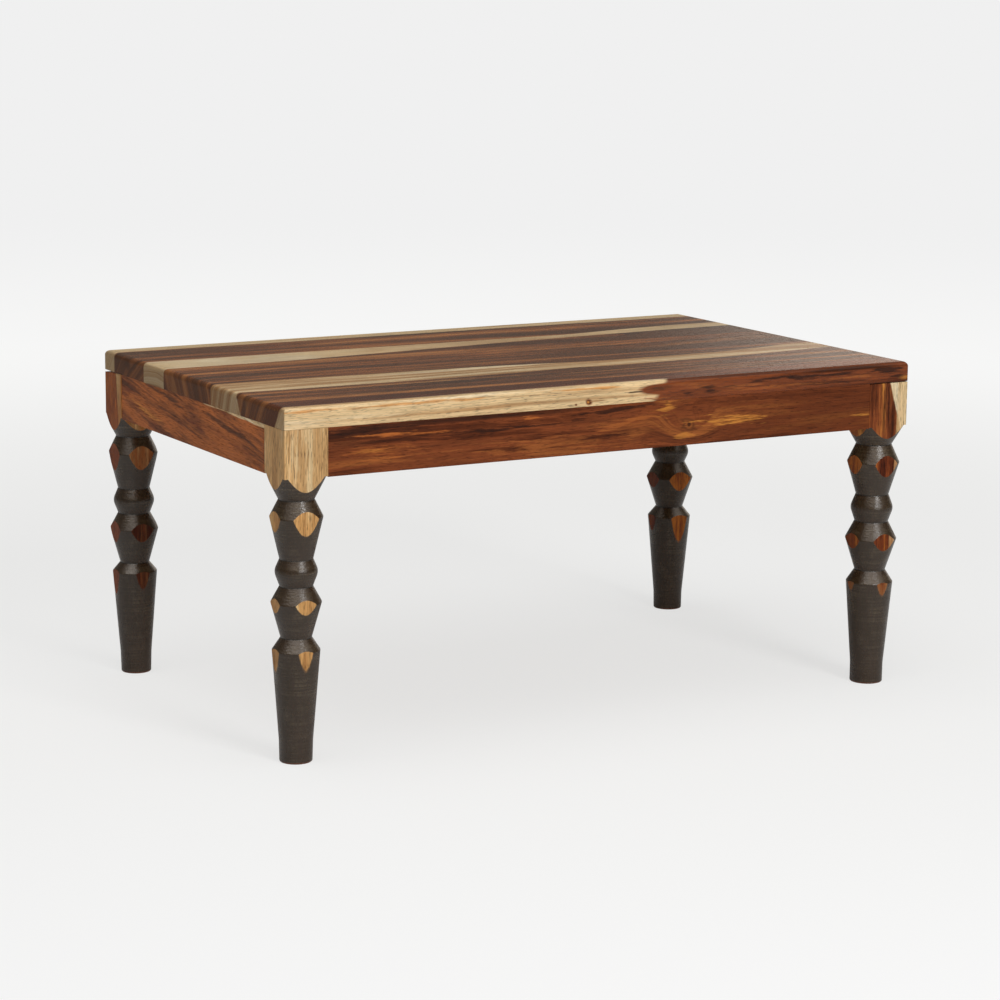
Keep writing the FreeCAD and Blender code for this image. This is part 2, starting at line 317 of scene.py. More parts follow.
def shaken(add, place, size, reach, seed):
    """A place moved about by slow noise of a size along, across and deep, as far as a reach."""
    noise = patchy(add, place, size, 2.0, 0.5, (seed, seed, seed)).node.outputs["Color"]
    centred = add("VectorMath SUBTRACT", (noise, (0.5, 0.5, 0.5)))
    return add("VectorMath MULTIPLY_ADD", (centred, [2 * r for r in reach], place))


def within(add, place, centre, half, turn=0.0, soft=0.4, feather=None):
    """1 inside a soft oval of half sizes about a centre, 0 outside. A feather frays its rim."""
    turned = (0, math.radians(turn), 0) if half[1] == FAR else (0, 0, math.radians(turn))
    oval = add("Mapping", (place, centre, turned, half), vector_type="TEXTURE")
    reach = add("VectorMath LENGTH", (oval,))
    if feather:
        reach = add("Math MULTIPLY_ADD", (feather, FEATHER_REACH, reach))
    return add("MapRange", (reach, 1.0, 1.0 - soft, 0.0, 1.0), **SOFTLY)


def beyond(add, place, slope, limit, soft):
    """1 where a place lies past a slanted limit, 0 before it. A limit of pairs runs along the grain."""
    reach = add("VectorMath DOT_PRODUCT", (place, slope))
    if isinstance(limit, (list, tuple)):
        along = add("VectorMath DOT_PRODUCT", (place, (1 / TABLE_LENGTH, 0, 0)))
        spots = [(x / TABLE_LENGTH, y / TABLE_DEPTH) for x, y in limit]
        line = add("FloatCurve", (1.0, along), points=spots)
        reach = add("Math MULTIPLY_ADD", (line, -TABLE_DEPTH, reach))
        limit = 0.0
    return add("MapRange", (reach, limit - soft, limit + soft, 0.0, 1.0), **SOFTLY)


# Rows of growth lines: seed, scale along, across and between logs, where lines start and end, their strength
LINE_ROWS = (
    (0, (1, 1, 1), 0.5, 0.64, 1.0),
    (7, (1.6, 2.6, 1), 0.5, 0.62, 0.75),
)


def log_figure(add, place, wood, colours):
    """Figure of a plank sawn from a log: broad soft tones and sparse dark lines along the growth rings."""
    seed, run, ring = wood["seed"], wood["run"], wood["ring"]
    sway = wood.get("sway", 6)
    bent = shaken(add, place, (220, 60, 60), (0, sway, sway), seed)
    pith_y, pith_z = wood["pith"]
    rings = add("Mapping", (bent, (0, -pith_y, -pith_z), None, (0, 1, 1)))
    reach = add("VectorMath LENGTH", (rings,))
    tilt = wood.get("tilt", 0.0)
    if tilt:
        slope = add("VectorMath DOT_PRODUCT", (bent, (tilt, 0, 0)))
        reach = add("Math ADD", (slope, reach))
    for centre, half, lift in wood.get("knots", ()):
        swell = within(add, bent, centre, half, 0, 1.0)
        reach = add("Math MULTIPLY_ADD", (swell, lift, reach))
    along = add("VectorMath DOT_PRODUCT", (bent, (1 / run, 0, 0)))
    bands = add("Math MULTIPLY", (reach, 1 / ring))
    spot = add("CombineXYZ", (along, bands, seed))
    broad = add("Mapping", (spot, None, None, (0.8, 0.3, 1)))
    tone = add("TexNoise", (broad, 1.0, 5.0, 0.68))
    tones = [colours[name] for name in wood["tones"].split()]
    colour = add("ValToRGB", (tone,), stops=list(zip(TONE_STOPS, tones)))
    cluster = add("Mapping", (spot, (0, 0, 13), None, (0.7, 0.22, 1)))
    cluster = add("TexNoise", (cluster, 1.0, 1.0, 0.5))
    cluster = add("MapRange", (cluster, 0.38, 0.62, 0.1, 1.0), **SOFTLY)
    for offset, scale, low, high, share in LINE_ROWS:
        row = add("Mapping", (spot, (0, 0, offset), None, scale))
        row = add("TexNoise", (row, 1.0, 4.0, 0.62))
        row = add("MapRange", (row, low, high, 0.0, wood["lines"] * share), **SOFTLY)
        row = add("Math MULTIPLY", (row, cluster))
        colour = add("MixRGB", (row, colour, colours[wood["line"]]))
    return bent, colour


def open_grain(add, bent, colour, depth=1.0):
    """Fine fibres 1 mm wide and dark open pores, drawn 0.7 mm wide, over a colour; also their relief."""
    fibre = patchy(add, bent, (30, 1, 1), 3.0, 0.6)
    pore = patchy(add, bent, (8, 0.7, 0.7), 1.0, 0.5)
    pores = add("MapRange", (pore, 0.56, 0.68, 0.0, 1.0), **SOFTLY)
    slow = patchy(add, bent, (150, 40, 40), 2.0, 0.5)
    shade = add("MapRange", (fibre, 0.3, 0.7, 1 - 0.2 * depth, 1 + 0.2 * depth))
    shade = add("Math MULTIPLY_ADD", (pores, -0.42 * depth, shade))
    tone = add("MapRange", (slow, 0.3, 0.7, 0.86, 1.14))
    shade = add("Math MULTIPLY", (shade, tone))
    colour = add("VectorMath SCALE", (colour, shade))
    relief = add("Math MULTIPLY_ADD", (pores, -1.0, fibre))
    return colour, relief


def blended(add, mask, under, over, strength=1.0):
    """A colour laid over another by a mask."""
    if strength != 1.0:
        mask = add("Math MULTIPLY", (mask, strength))
    return add("MixRGB", (mask, under, over))


def marked(add, place, bent, colour, marks, colours):
    """Lay marks: centre, half sizes, colour, strength, softness and, if one frays, its turn in degrees."""
    fibre = patchy(add, bent, (34, 2.6, 2.6), 4.0, 0.66)
    fibre = add("Math ADD", (fibre, -0.5))
    for centre, half, name, strength, soft, *turn in marks:
        mask = within(add, place, centre, half, sum(turn), soft, fibre if turn else None)
        colour = blended(add, mask, colour, colours[name], strength)
    return colour


def coat(add, colour, rough, sheen, relief, bump, depth):
    """Principled surface with a relief of a depth in mm and slightly softened edges."""
    soft_edge = add("Bevel", (EDGE_GLINT * MM,), samples=4)
    normal = add("Bump", {
        "Strength": bump, "Distance": depth * MM, "Height": relief, "Normal": soft_edge})
    shader = add("BsdfPrincipled", {
        "Base Color": colour, "Roughness": rough, "IOR": 1.5, "Specular IOR Level": sheen, "Normal": normal})
    add("OutputMaterial", (shader,))


def finish_wood(add, colour, relief, sheen, rough, bump):
    """Lacquered or planed wood, more matt in its pores than on its fibres."""
    matt = add("MapRange", (relief, -0.5, 0.7, rough + 0.12, rough - 0.04))
    coat(add, colour, matt, sheen, relief, bump, 0.25)


def palette(context):
    """The finish colours by name."""
    finishes = context.scene.bajot_finishes
    return {name: tuple(getattr(finishes, name)) for name in BajotFinishes.__annotations__}


def face_marks(*rows):
    """Marks or knots on a front face, as deep as the wood: place along and down, half sizes and the rest."""
    return [((along, 0, down), (half, FAR, drop), *rest) for along, down, half, drop, *rest in rows]


# Top

# Oval marks on the boards, in mm as the figure's own place is
MIDDLE_MARKS = [
    ((0, 160, 9), (80, 7, 30), "rail_mid", 0.5, 0.8),
    ((400, 190, 0), (90, 26, FAR), "heart_dark", 0.6, 1.0, -4),
    ((560, 200, 0), (130, 10, FAR), "heart_light", 0.5, 1.0, -8),
]
FRONT_MARKS = [
    ((350, 304, 0), (13, 3.2, FAR), "heart_dark", 0.9, 0.5),
    ((610, 320, 0), (60, 4, FAR), "sap_streak", 0.6, 0.9, -3),
    ((250, 345, 0), (160, 8, FAR), "heart_dark", 0.7, 0.9, 2),
    ((190, 321, 0), (100, 4, FAR), "sap_streak", 0.75, 0.9, 1),
    ((70, 360, 0), (90, 4, FAR), "heart_light", 0.7, 0.9, 0),
    ((400, 330, 0), (140, 4, FAR), "heart_light", 0.7, 0.9, -1),
    ((470, 358, 0), (150, 3, FAR), "heart_light", 0.6, 0.9, -1),
    ((0, 330, 8), (30, 5, 14), "heart_light", 0.5, 0.9),
    ((0, 373, 8), (30, 3, 14), "heart_light", 0.5, 0.9),
]
STRIP_MARKS = face_marks(
    (305, 15, 5.2, 3.8, "rail_mid", 0.9, 0.5),
    (305, 15, 3.6, 2.6, "rail_dark", 0.9, 0.5),
    (304, 15, 2.0, 1.5, "flame", 0.9, 0.6),
    (316, 14.5, 8, 0.8, "sap_streak", 0.9, 0.8, 0),
    (289, 16.5, 2.2, 1.4, "rail_mid", 0.9, 0.6),
    (130, 3.4, 150, 1.6, "flame", 0.7, 0.9, 0),
    (300, 2.8, 80, 1.2, "flame", 0.7, 0.9, 0),
    (382, 8, 30, 6, "rail_mid", 1.0, 0.3),
    (384, 8.5, 20, 5, "rail_mid", 1.0, 0.5),
    (376, 7, 22, 3, "heart_dark", 0.7, 0.8, 0),
    (352, 9, 13, 1.5, "heart_deep", 0.9, 0.8, 0),
    (380, 17, 30, 1.6, "rail_light", 0.7, 0.9, 0),
    (416, 6, 30, 4, "rail_light", 0.6, 1.0, 0),
    (436, 13, 10, 3.6, "heart_deep", 0.9, 0.8, 0),
    (411, 14, 7, 2.2, "heart_deep", 0.8, 0.8, 0),
    (470, 11, 26, 3, "rail_light", 0.7, 1.0, 0),
    (590, 3, 95, 2.6, "heart_deep", 0.85, 0.7),
    (505, 6, 50, 2.2, "heart_deep", 0.85, 0.8, 4),
    (560, 8, 60, 3, "heart_deep", 0.85, 0.9, 0),
    (545, 14, 95, 2.2, "heart_deep", 0.8, 0.8, 0),
    (500, 14, 60, 2.4, "ember", 0.5, 1.0, 0),
    (600, 11, 34, 1.6, "rail_light", 0.8, 0.9, 0),
    (638, 6, 20, 5, "heart_deep", 0.85, 0.8, 0),
    (648, 13, 10, 3, "heart_deep", 0.7, 0.9, 0),
    (655, 15, 9, 3, "flame", 0.6, 1.0),
)

# Each board's heartwood and sapwood, with the pith line from the rear edge and down from the top, mm
HEART_TONES = "heart_dark heart_dark heart_mid heart_light"
SAP_TONES = "sap_streak sap sap sap_light"
BOARDS = {
    "top_board_rear": {
        "pith": (150, 120), "seed": 3.1, "marks": [((0, 58, 8), (14, 9, 8), "heart_deep", 0.8, 0.8)]},
    "top_board_rear_strip": {"pith": (120, 120), "seed": 7.7},
    "top_board_middle": {"pith": (60, 90), "seed": 12.4, "marks": MIDDLE_MARKS},
    "top_board_front": {
        "pith": (450, 70), "seed": 17.9, "marks": FRONT_MARKS, "sap_line": "heart_light",
        "sap_tones": "sap_streak sap_streak sap sap_light"},
    "top_board_front_strip": {
        "pith": (480, 70), "seed": 23.3, "marks": STRIP_MARKS,
        "tones": "rail_dark rail_dark rail_mid rail_mid", "sap_tones": "sap sap sap_light sap_light"},
}

# Edge of the sapwood from the rear edge of the table, by distance from the left end, mm
REAR_SAP_EDGE = 24
REAR_JOINT_SAP = ((0, 100), (430, 100), (500, 91), (575, 81), (660, 81))
STRIP_HEART = ((0, 147), (100, 146), (225, 136), (400, 119), (600, 106), (660, 105))
BAND_REAR = ((0, 250), (100, 253), (250, 258), (300, 262), (350, 268), (385, 272), (430, 273), (500, 271),
             (550, 268), (600, 258), (640, 245), (660, 237))
BAND_FRONT = ((0, 306), (300, 306), (335, 303), (400, 306), (450, 304), (500, 302), (550, 299), (600, 293),
              (640, 288), (660, 285))


def sapwood_mask(add, board, place):
    """Where a board shows pale sapwood."""
    if board == "top_board_rear":
        rear = beyond(add, place, (0, -1, 0), -REAR_SAP_EDGE, 2)
        joint = beyond(add, place, (0, 1, 0), REAR_JOINT_SAP, 1.5)
        return add("Math MAXIMUM", (rear, joint))
    if board == "top_board_rear_strip":
        heart = beyond(add, place, (0, 1, 0), STRIP_HEART, 1.5)
        return add("Math SUBTRACT", (1.0, heart))
    if board == "top_board_front":
        past_rear = beyond(add, place, (0, 1, 0), BAND_REAR, 1.5)
        past_front = beyond(add, place, (0, 1, -0.6), BAND_FRONT, 1.5)
        return add("Math SUBTRACT", (past_rear, past_front), use_clamp=True)
    if board == "top_board_front_strip":
        front = beyond(add, place, (0, 1, 0.6), 398, 1.2)
        tip = beyond(add, place, (1, 0, 0.7), 384, 4)
        return add("Math SUBTRACT", (front, tip), use_clamp=True)
    return None


def board_finish(board, colours):
    """Satin lacquered sheesham board: soft gloss over dark streaked heartwood and pale sapwood bands."""
    material, add = new_finish("satin_lacquered_sheesham_" + board)
    place = along_table(add)
    facts = BOARDS[board]
    heart_wood = {"run": 620, "ring": 6, "tones": HEART_TONES, "line": "heart_deep", "lines": 0.9, **facts}
    sap_wood = {**facts, "run": 520, "ring": 5, "lines": 0.7, "sway": 4, "seed": facts["seed"] + 50,
                "tones": facts.get("sap_tones", SAP_TONES), "line": facts.get("sap_line", "sap_streak")}
    bent, colour = log_figure(add, place, heart_wood, colours)
    ragged = shaken(add, place, (60, 12, 12), (10, 1.2, 0.6), facts["seed"])
    mask = sapwood_mask(add, board, ragged)
    if mask:
        _, sap = log_figure(add, place, sap_wood, colours)
        colour = blended(add, mask, colour, sap)
    if "marks" in facts:
        colour = marked(add, ragged, bent, colour, facts["marks"], colours)
    colour, relief = open_grain(add, bent, colour)

    # End grain soaks up more lacquer: darker and less glossy
    facing = add("NewGeometry").node.outputs["Normal"]
    endwise = add("VectorMath DOT_PRODUCT", (facing, (1, 0, 0)))
    endwise = add("Math ABSOLUTE", (endwise,))
    soaked = add("MapRange", (endwise, 0.3, 0.9, 0.0, 0.4), **SOFTLY)
    colour = blended(add, soaked, colour, colours["end_grain"])
    shade = add("MapRange", (endwise, 0.3, 0.9, 1.0, 0.8), **SOFTLY)
    colour = add("VectorMath SCALE", (colour, shade))
    sheen = add("MapRange", (endwise, 0.3, 0.9, 0.2, 0.04), **SOFTLY)
    finish_wood(add, colour, relief, sheen, 0.26, 0.25)
    return material


def skinned(shape, loops):
    """Close a shape with faces between its loops of corners and over both ends."""
    for loop, following in zip(loops, loops[1:]):
        for spot in range(len(loop)):
            after = (spot + 1) % len(loop)
            shape.faces.new((loop[spot], loop[after], following[after], following[spot]))
    shape.faces.new(loops[0][::-1])
    shape.faces.new(loops[-1])
    bmesh.ops.recalc_face_normals(shape, faces=shape.faces)
    return shape


def eased_panel(sizes):
    """The whole top as one block, its upper edge rounded over and its other edges eased."""
    low = Vector((REAR_BOARD[0].x, FRONT_BOARD[0].y, REAR_BOARD[0].z))
    high = Vector(REAR_BOARD[1])
    ease = sizes.board_ease
    rows = []
    for step in range(EASE_STEPS + 1):
        angle = math.pi / 2 * step / EASE_STEPS
        rows.append((ease * (1 - math.sin(angle)), low.z + ease * (1 - math.cos(angle))))
    for step in range(ROUND_STEPS + 1):
        angle = math.pi / 2 * step / ROUND_STEPS
        inset = sizes.round_over * (1 - math.cos(angle))
        rows.append((inset, high.z - sizes.round_over * (1 - math.sin(angle))))
    panel = bmesh.new()
    loops = []
    for inset, level in rows:
        left, right = low.x + inset, high.x - inset
        front, rear = low.y + inset, high.y - inset
        outline = [(right, front + ease), (right, rear - ease), (right - ease, rear), (left + ease, rear),
                   (left, rear - ease), (left, front + ease), (left + ease, front), (right - ease, front)]
        loops.append([panel.verts.new((x, y, level)) for x, y in outline])
    return skinned(panel, loops)


def shade(mesh, sharp_above, crisp_flats=False):
    """Weld a mesh; shade its worked faces smooth and its sawn ones flat, with edges above an angle sharp."""
    work = bmesh.new()
    work.from_mesh(mesh)
    bmesh.ops.remove_doubles(work, verts=work.verts, dist=WELD * MM)
    bmesh.ops.recalc_face_normals(work, faces=work.faces)
    for face in work.faces:
        face.smooth = max(abs(share) for share in face.normal) < SQUARE_ON
    limit = math.radians(sharp_above)
    for edge in work.edges:
        sides = [face.smooth for face in edge.link_faces]
        sharp = len(sides) != 2 or edge.calc_face_angle() > limit
        edge.smooth = not (sharp or (crisp_flats and sides[0] != sides[1]))
    work.to_mesh(mesh)
    work.free()


def new_piece(name, shape, material):
    """A new object of a shape, with its material."""
    mesh = bpy.data.meshes.new(name)
    shape.to_mesh(mesh)
    shape.free()
    piece = bpy.data.objects.new(name, mesh)
    bpy.context.scene.collection.objects.link(piece)
    mesh.materials.append(material)
    return piece


class BAJOT_OT_top(bpy.types.Operator):
    """Make the five edge-glued boards of the top"""
    bl_idname = "bajot.top"
    bl_label = "Top boards"

    def execute(self, context):
        sizes = context.scene.bajot_sizes
        colours = palette(context)
        for board in BOARDS:
            low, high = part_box(board)
            shape = eased_panel(sizes)
            joints = [(low, -1)] if low.y > FRONT_BOARD[0].y else []
            if high.y < REAR_BOARD[1].y:
                joints.append((high, 1))
            for joint, outward in joints:
                geometry = shape.verts[:] + shape.edges[:] + shape.faces[:]
                cut = bmesh.ops.bisect_plane(
                    shape, geom=geometry, plane_co=joint, plane_no=(0, outward, 0), clear_outer=True)
                rim = [item for item in cut["geom_cut"] if isinstance(item, bmesh.types.BMEdge)]
                bmesh.ops.edgeloop_fill(shape, edges=[edge for edge in rim if edge.is_boundary])
            piece = new_piece("visual_" + board, shape, board_finish(board, colours))
            shade(piece.data, TOP_SHARP)
            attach(piece, "root")
            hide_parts(board)
        return {"FINISHED"}


# Legs

# Each leg's natural wood, the rub that stain left on its flats below the block, and its other woods and darker
# faces: their tones, and the slope, place and softness of the slanted limit where they start
LEG_WOODS = {
    "front_left": {
        "seed": 4.2, "line": "sap_streak", "tones": "sap_streak plain_wood plain_wood sap",
        "rub": "warm_rub", "others": ()},
    "front_right": {
        "seed": 9.6, "line": "heart_deep", "tones": "rail_dark rail_mid rail_light flame",
        "rub": "red_rub", "others": (
            ("rail_mid rail_light rail_light flame", (-0.1, 0, 1), -4.0, 1.0),
            ("sap_streak plain_wood sap sap_light", (-0.04, 0, -1), 0.0, 0.8),
            ("rail_light sap_streak sap_streak sap_streak", (-1, 0, 0), -112.0, 2.0),
            ("sap sap sap_light sap_light", (0.28, 0, -1), 85.4, 1.0))},
    "rear_left": {
        "seed": 14.5, "line": "rail_mid", "tones": "rail_mid rail_light rail_light ember",
        "rub": "red_rub", "others": (
            # On this leg the faces towards the front are darker red, and tan-brown higher up
            ("rail_dark rail_dark rail_dark rail_mid", (0, -1, 0), 14.0, 1.5),
            ("heart_light heart_light sap_streak plain_wood", (0.1, -1, 0), 37.0, 1.5))},
    "rear_right": {
        "seed": 19.4, "line": "rail_dark", "tones": "rail_dark rail_mid rail_light rail_light",
        "rub": "red_rub", "others": (("rail_light flame flame flame", (0, 0, -1), -15, 3.0),)},
}


def leg_finish(leg, colours):
    """Turned sheesham: dark rubbed stain with lathe rings, and the blank's flats left natural and satin."""
    material, add = new_finish("stained_turned_sheesham_" + leg)
    low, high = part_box("leg_" + leg)
    middle = (low + high) / 2
    half = (high - low) / 2 * PER_METRE
    place = up_leg(add, middle.x * PER_METRE, middle.y * PER_METRE)
    facts = {"pith": (20, 60), "run": 110, "ring": 3, "lines": 1.0, "sway": 3, **LEG_WOODS[leg]}
    ragged = shaken(add, place, (60, 8, 8), (6, 0.8, 0.8), facts["seed"])
    bent, wood = log_figure(add, place, facts, colours)
    for tones, *limit in facts["others"]:
        other = {**facts, "tones": tones, "seed": facts["seed"] + 30, "lines": 0.3, "line": "sap_streak"}
        _, other = log_figure(add, place, other, colours)
        wood = blended(add, beyond(add, ragged, *limit), wood, other)
    wood, relief = open_grain(add, bent, wood, 1.15)

    # Below the block the flats took some of the stain's warmth
    height = add("VectorMath DOT_PRODUCT", (place, (1, 0, 0)))
    warmth = add("MapRange", (height, 245.0, 220.0, 0.0, 0.8))
    wood = add("MixRGB", (warmth, wood, colours[facts["rub"]]), blend_type="MULTIPLY")

    # How far a point lies inside the blank's nearest flat, in mm
    shares = add("VectorMath MULTIPLY", (place, (0, 1 / half.y, 1 / half.x)))
    shares = add("VectorMath ABSOLUTE", (shares,))
    split = add("SeparateXYZ", (shares,)).node
    nearest = add("Math MAXIMUM", (split.outputs["Y"], split.outputs["Z"]))
    inside = add("MapRange", (nearest, 1.0, 0.0, 0.0, half.x))
    in_block = add("MapRange", (height, TURNED_LENGTH - 0.1, TURNED_LENGTH + 0.1, 0.0, 1.0))
    edge_noise = add("TexNoise", (place, 0.35, 2.0, 0.5))
    edge_slip = add("MapRange", (edge_noise, 0.3, 0.7, -0.03, 0.05))
    inside = add("Math ADD", (inside, edge_slip))
    on_flat = add("MapRange", (inside, 0.09, 0.06, 0.0, 1.0))
    natural = add("Math MAXIMUM", (in_block, on_flat))
    rim = add("MapRange", (inside, 0.09, 0.3, 0.4, 0.0))

    # Stain: fine rings from the gouge, drawn 1.2 mm apart, brown grain under it and thin cloudy wear. Brush
    # marks, drawn 1.4 mm high and 4 mm long, break its highlights.
    across = add("VectorMath MULTIPLY", (place, (0, 1, 1)))
    radius = add("VectorMath LENGTH", (across,))
    gouge = patchy(add, place, (1.2, 40, 40), 2.0, 0.6)
    cloud = patchy(add, place, (26, 12, 12), 4.0, 0.6)
    brown = patchy(add, bent, (22, 1.6, 1.6), 3.0, 0.6)
    worn = add("Math MULTIPLY", (gouge, cloud))
    worn = add("MapRange", (worn, 0.2, 0.42, 0.0, 0.45), **SOFTLY)
    stained = blended(add, worn, colours["stain"], colours["stain_worn"])
    brown = add("MapRange", (brown, 0.42, 0.66, 0.0, 0.75), **SOFTLY)
    stained = blended(add, brown, stained, colours["stain_warm"])
    waist = add("MapRange", (radius, 19.0, 15.5, 0.0, 0.7), **SOFTLY)
    waist = add("Math MULTIPLY", (waist, cloud))
    stained = blended(add, waist, stained, colours["stain_warm"])
    # Painted shade: the stain is darkened near the crease at the bottom of each waist
    for ring in WAISTS:
        crease = RING_LEVELS[leg][ring] * TURNED_LENGTH
        gap = add("Math ADD", (height, -crease))
        gap = add("Math ABSOLUTE", (gap,))
        dark = add("MapRange", (gap, 1.1, 0.3, 0.0, 0.7), **SOFTLY)
        stained = blended(add, dark, stained, colours["stain_deep"])
    stained = blended(add, rim, stained, wood)
    toe = add("MapRange", (height, 1.6, 0.9, 0.0, 1.0))
    stained = blended(add, toe, stained, colours["bare_toe"])
    colour = blended(add, natural, stained, wood)
    gouged = add("Math MULTIPLY", (gouge, 0.5))
    dashes = patchy(add, place, (1.4, 4, 4), 3.0, 0.65)
    dashes = add("MapRange", (dashes, 0.3, 0.7, 0.0, 1.4))
    gouged = add("Math ADD", (gouged, dashes))
    relief = add("MixRGB", (natural, gouged, relief))
    glossy = add("MapRange", (cloud, 0.35, 0.65, 0.36, 0.2))
    rough = add("MixRGB", (natural, glossy, (0.42, 0.42, 0.42)))
    sheen = add("MapRange", (natural, 0.0, 1.0, 0.52, 0.1))
    coat(add, colour, rough, sheen, relief, 0.4, 0.3)
    return material


def rounded_outline(points, rounds):
    """An outline with its outward ridges rounded, each by its own radius, and a support point beside each."""
    outline = [points[0]]
    for before, ridge, after, radius in zip(points, points[1:], points[2:], rounds):
        back = (before - ridge).normalized()
        ahead = (after - ridge).normalized()
        outward = back.cross(ahead) > 0
        if not outward:
            outline.append(ridge)
            continue
        turn = math.pi - back.angle(ahead)
        shorter = min((before - ridge).length, (after - ridge).length)
        reach = min(radius * math.tan(turn / 2), shorter / RIDGE_SHARE)
        start = ridge + back * reach
        stop = ridge + ahead * reach
        outline.append(start + back * RIDGE_SUPPORT * MM)
        for step in range(RIDGE_STEPS + 1):
            t = step / RIDGE_STEPS
            outline.append(start * (1 - t) ** 2 + ridge * 2 * t * (1 - t) + stop * t ** 2)
        outline.append(stop + ahead * RIDGE_SUPPORT * MM)
    return outline + [points[-1]]


def turned_solid(leg, sizes, middle):
    """The full turning of a leg, with a drum above it that is wider than its blank."""
    radii = [radius * share for radius, share in zip(sizes.ring_radii, RING_SHARES[leg])]
    levels = [level * TURNED_LENGTH * MM for level in RING_LEVELS[leg]]
    top = (TOP_UNDERSIDE + OVERRUN) * MM
    drum = DRUM_RADIUS * MM
    rings = [Vector((radius, level)) for radius, level in zip(radii, levels)]
    toe = radii[-1]
    chamfer = TOE_CHAMFER * MM
    ends = [Vector((toe, chamfer)), Vector((toe - chamfer, 0))]
    rounds = [sizes.ridge_round] * (len(rings) + 1)
    rounds[MIDDLE_BEAD - 1] = sizes.bead_round
    rings[MIDDLE_BEAD].x += BEAD_LIFT
    outline = rounded_outline(rings + ends, rounds)
    outline = [Vector((drum, top)), Vector((drum, levels[0]))] + outline
    shape = bmesh.new()
    steps = sizes.turning_steps
    loops = []
    shift = Vector((*TOE_SHIFTS[leg], 0)) * MM
    for radius, level in outline:
        centre = Vector((middle.x, middle.y, level)) + shift * max(0, 1 - level / levels[0])
        loop = []
        for step in range(steps):
            angle = (step + 0.5) * math.tau / steps
            loop.append(shape.verts.new(centre + radius * Vector((math.cos(angle), math.sin(angle), 0))))
        loops.append(loop)
    return skinned(shape, loops)


def sawn_blank(leg, sizes, low, high):
    """The square blank of a leg with eased corners, its top a hair off level."""
    shape = bmesh.new()
    bmesh.ops.create_cube(shape, size=1)
    front = leg.startswith("front")
    for vertex in shape.verts:
        to_rear = vertex.co.y > 0
        upper = vertex.co.z > 0
        vertex.co.x = low.x if vertex.co.x < 0 else high.x
        vertex.co.y = high.y if to_rear else low.y
        outer = to_rear != front
        gap = BLOCK_OUTER_GAP[leg] if outer else BLOCK_INNER_GAP[leg]
        vertex.co.z = (TOP_UNDERSIDE - gap if upper else -OVERRUN) * MM
    upright = [edge for edge in shape.edges if abs(edge.verts[0].co.z - edge.verts[1].co.z) > high.x - low.x]
    bmesh.ops.bevel(shape, geom=upright, offset=sizes.block_ease, segments=2, profile=0.5, affect="EDGES")
    return shape


class BAJOT_OT_legs(bpy.types.Operator):
    """Turn the four legs out of their square blanks"""
    bl_idname = "bajot.legs"
    bl_label = "Turned legs"

    def execute(self, context):
        sizes = context.scene.bajot_sizes
        colours = palette(context)
        for leg in RING_LEVELS:
            node = "leg_" + leg
            low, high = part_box(node)
            material = leg_finish(leg, colours)
            piece = new_piece("turned_" + node, turned_solid(leg, sizes, (low + high) / 2), material)
            blank = new_piece("blank_" + leg, sawn_blank(leg, sizes, low, high), material)
            meet = piece.modifiers.new("blank", "BOOLEAN")
            meet.operation = "INTERSECT"
            meet.solver = "EXACT"
            meet.object = blank
            shaped = piece.evaluated_get(context.evaluated_depsgraph_get())
            mesh = bpy.data.meshes.new_from_object(shaped)
            piece.modifiers.clear()
            piece.data = mesh
            bpy.data.objects.remove(blank)
            shade(mesh, TURNING_SHARP, crisp_flats=True)
            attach(piece, "root")
            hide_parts(node)
        return {"FINISHED"}


# Rails

# Oval marks on the rails
FRONT_RAIL_MARKS = face_marks(
    (570, 40, 170, 50, "rail_dark", 0.5, 0.7),
    (180, 21, 190, 4, "heart_deep", 0.85, 0.8),
    (80, 24, 70, 4, "heart_deep", 0.85, 0.8, 0),
    (215, 28, 110, 6, "rail_dark", 0.8, 0.9, 0),
    (220, 33, 80, 2.2, "heart_deep", 0.85, 0.8, 0),
    (105, 29.5, 42, 2.2, "ember", 0.85, 0.8, 0),
    (240, 25, 30, 1.6, "ember", 0.85, 0.8, 0),
    (60, 34, 30, 5, "heart_dark", 0.6, 0.9, 0),
    (90, 43, 40, 5.5, "ember", 0.6, 1.0, 0),
    (92, 43, 26, 2.6, "flame", 0.4, 1.0, 0),
    (92, 51, 22, 2.4, "ember", 0.6, 0.9, 0),
    (327, 25, 40, 2.6, "heart_deep", 0.85, 0.8, 5),
    (320, 46, 40, 3, "rail_dark", 0.8, 0.9, 12),
    (350, 36, 40, 5, "ember", 0.6, 1.0, 10),
    (260, 52, 110, 9, "rail_light", 0.8, 1.0, 0),
    (345, 40, 50, 9, "rail_light", 0.6, 1.0, 0),
    (388, 25, 12, 9, "flame", 0.8, 1.0, 0),
    (408, 43, 24, 14, "rail_light", 0.4, 1.0),
    (408, 43, 9, 8, "heart_dark", 0.8, 0.5),
    (408, 43, 6, 5.4, "rail_light", 0.7, 0.4),
    (408, 43, 3, 3.4, "heart_deep", 0.8, 0.6),
    (404, 53, 10, 4, "flame", 0.6, 1.0, 0),
    (452, 42, 38, 5, "flame", 0.9, 0.9, 0),
    (520, 24, 110, 4, "rail_dark", 0.6, 0.9, 0),
    (610, 48, 14, 1.8, "flame", 0.7, 0.9, 0),
)
LEFT_RAIL_MARKS = face_marks(
    (110, 45, 80, 10, "ember", 0.8, 1.0, -8),
    (110, 47, 50, 5, "flame", 0.7, 1.0, -8),
    (280, 42, 120, 12, "ember", 0.6, 1.0, -8),
    (150, 25, 90, 3, "heart_dark", 0.8, 0.9, -8),
    (290, 34, 110, 2.6, "heart_dark", 0.8, 0.9, -8),
)

